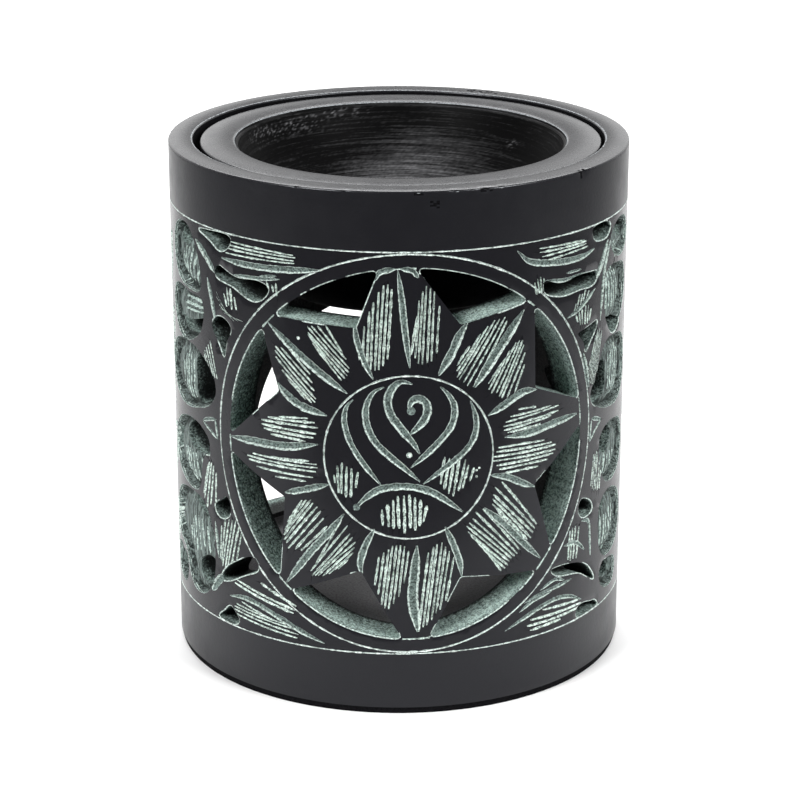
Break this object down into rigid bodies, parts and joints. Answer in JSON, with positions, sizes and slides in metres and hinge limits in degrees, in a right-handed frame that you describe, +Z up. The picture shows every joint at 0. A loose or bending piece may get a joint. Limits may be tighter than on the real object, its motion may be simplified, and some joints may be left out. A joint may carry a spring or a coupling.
{
  "type": "essential oil burner",
  "caption": "Round carved stone oil burner: a pierced body with a flower medallion, a candle chamber with a rear arched door, and a lift-out oil bowl seated in its mouth.",
  "frame": {"origin": "middle of the flat underside", "axes": "+Z up along the axis of the turned body; the flower medallion faces -Y and the candle door +Y"},
  "size_m": [0.087, 0.087, 0.1],
  "materials": {
    "body_stone": "dark satin soapstone with pale grey-green carved cuts",
    "bowl_stone": "dark satin soapstone with fine turning lines"
  },
  "bodies": {
    "body": {"body": "body_stone"},
    "bowl": {"bowl": "bowl_stone"}
  },
  "joints": [
    {"name": "bowl_lift", "type": "slide", "parent": "body", "child": "bowl", "axis": [0, 0, 1], "range_m": [0, 0.045]}
  ]
}
